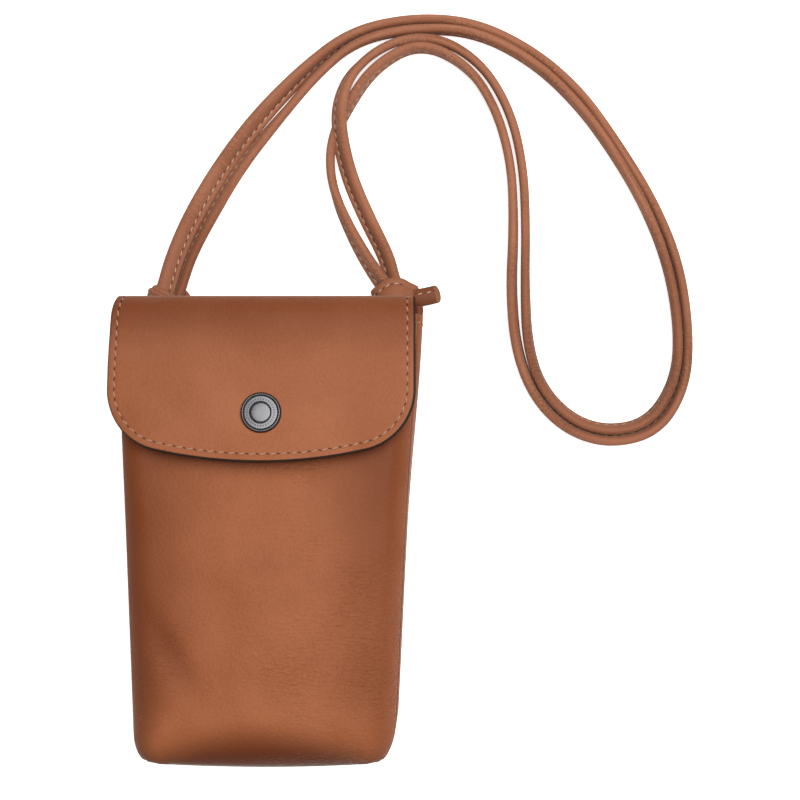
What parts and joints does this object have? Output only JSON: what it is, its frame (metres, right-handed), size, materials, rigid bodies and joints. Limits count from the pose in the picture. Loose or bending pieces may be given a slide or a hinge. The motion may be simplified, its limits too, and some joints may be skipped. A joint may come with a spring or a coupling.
{
  "type": "phone pouch",
  "caption": "Flat leather phone pouch with a rounded snap flap over its mouth and a doubled leather lace strap knotted to both ends of the fold.",
  "frame": {"origin": "on the back face, in the middle of the pouch's width and height, without the strap", "axes": "+Z out of the front, +Y from the base to the fold of the flap, +X to the right seen from the front; the pouch lies on its back"},
  "size_m": [0.2154, 0.2742, 0.028],
  "materials": {
    "tan_leather": "smooth cognac leather with a soft sheen",
    "lace_leather": "matt lace leather, folded and stitched",
    "inner_leather": "thin matt lining leather",
    "lining_cloth": "plain brown woven lining",
    "stiffener": "pressed fibre interlining",
    "gunmetal": "dark plated, polished rings",
    "snap_metal": "dark plated"
  },
  "bodies": {
    "pouch": {"front_panel": "tan_leather", "back_panel": "tan_leather", "left_gusset": "tan_leather", "right_gusset": "tan_leather", "base_panel": "tan_leather", "front_lining": "lining_cloth", "back_lining": "lining_cloth", "mouth_facing": "inner_leather", "snap_stud": "snap_metal", "stud_patch": "stiffener", "snap_post": "snap_metal", "strap_outer_strand": "lace_leather", "strap_inner_strand": "lace_leather", "left_knot": "lace_leather", "right_knot": "lace_leather", "strap_tail": "lace_leather", "left_strap_tab": "lace_leather", "right_strap_tab": "lace_leather"},
    "flap": {"flap_leather": "tan_leather", "flap_interlining": "stiffener", "flap_lining": "inner_leather", "fold_leather": "tan_leather", "fold_lining": "inner_leather", "snap_cap": "gunmetal", "snap_socket": "snap_metal", "snap_spring": "snap_metal"}
  },
  "joints": [
    {"name": "flap_hinge", "type": "hinge", "parent": "pouch", "child": "flap", "pos_m": [0, 0.08618, 0.013], "axis": [-1, 0, 0], "range_deg": [0, 165], "deforming": ["fold_leather", "fold_lining"]}
  ]
}
